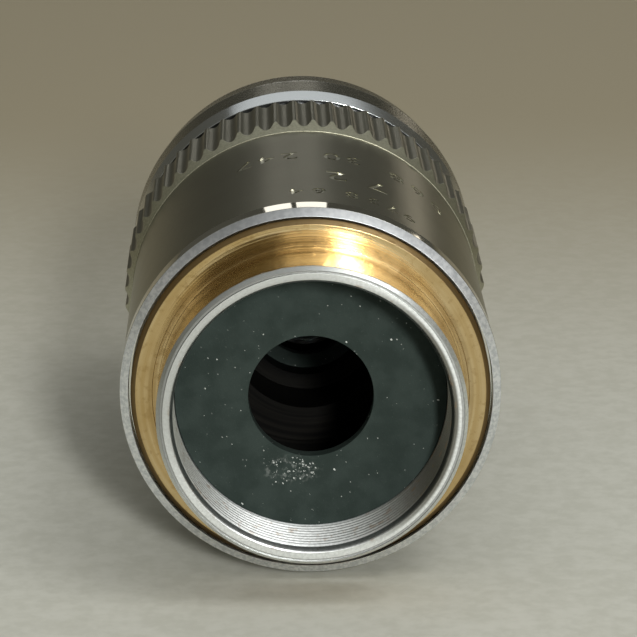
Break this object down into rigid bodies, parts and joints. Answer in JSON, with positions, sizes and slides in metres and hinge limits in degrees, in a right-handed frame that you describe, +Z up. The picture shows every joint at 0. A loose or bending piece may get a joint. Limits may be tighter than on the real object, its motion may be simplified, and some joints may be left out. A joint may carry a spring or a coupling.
{
  "type": "microscope objective",
  "caption": "Sprung high-power microscope objective: plated barrel, brass mounting neck, black rear stop, fluted grip ring and a short nose that slides back.",
  "frame": {"origin": "centre of the brass shoulder that seats on the nosepiece", "axes": "+Y along the optical axis from the mounting neck to the front lens, +Z up on the engraved side"},
  "size_m": [0.0264, 0.0498, 0.0264],
  "materials": {
    "bare_brass": "turned, bare and a little tarnished",
    "turned_brass": "turned and bare",
    "blackened_brass": "chemically blackened",
    "satin_chrome": "satin chrome plate with polished edges",
    "polished_chrome": "polished chrome plate",
    "steel": "turned stainless steel",
    "spring_steel": "drawn wire",
    "black_paint": "matte black, dusty",
    "lens_glass": "polished",
    "crown_glass": "polished, coated",
    "flint_glass": "polished"
  },
  "bodies": {
    "body": {"thread_mount": "bare_brass", "rear_stop": "black_paint", "barrel": "satin_chrome", "knurled_ring": "satin_chrome", "guide_tube": "blackened_brass", "front_collar": "satin_chrome", "stop_ring": "turned_brass", "guide_screw": "steel", "spring": "spring_steel"},
    "nose": {"carrier": "turned_brass", "nose_cone": "polished_chrome", "front_cell": "steel", "front_lens": "lens_glass", "meniscus_cell": "turned_brass", "meniscus_lens": "lens_glass", "meniscus_ring": "blackened_brass", "doublet_cell_front": "turned_brass", "crown_lens_front": "crown_glass", "flint_lens_front": "flint_glass", "spacer_front": "blackened_brass", "doublet_cell_rear": "turned_brass", "crown_lens_rear": "crown_glass", "flint_lens_rear": "flint_glass", "spacer_rear": "blackened_brass", "aperture_stop": "black_paint", "retaining_ring": "blackened_brass"}
  },
  "joints": [
    {"name": "nose_slide", "type": "slide", "parent": "body", "child": "nose", "axis": [0, -1, 0], "range_m": [0, 0.0016], "stiffness_N_per_m": 500, "springref_m": -0.002, "deforming": ["spring"]}
  ]
}
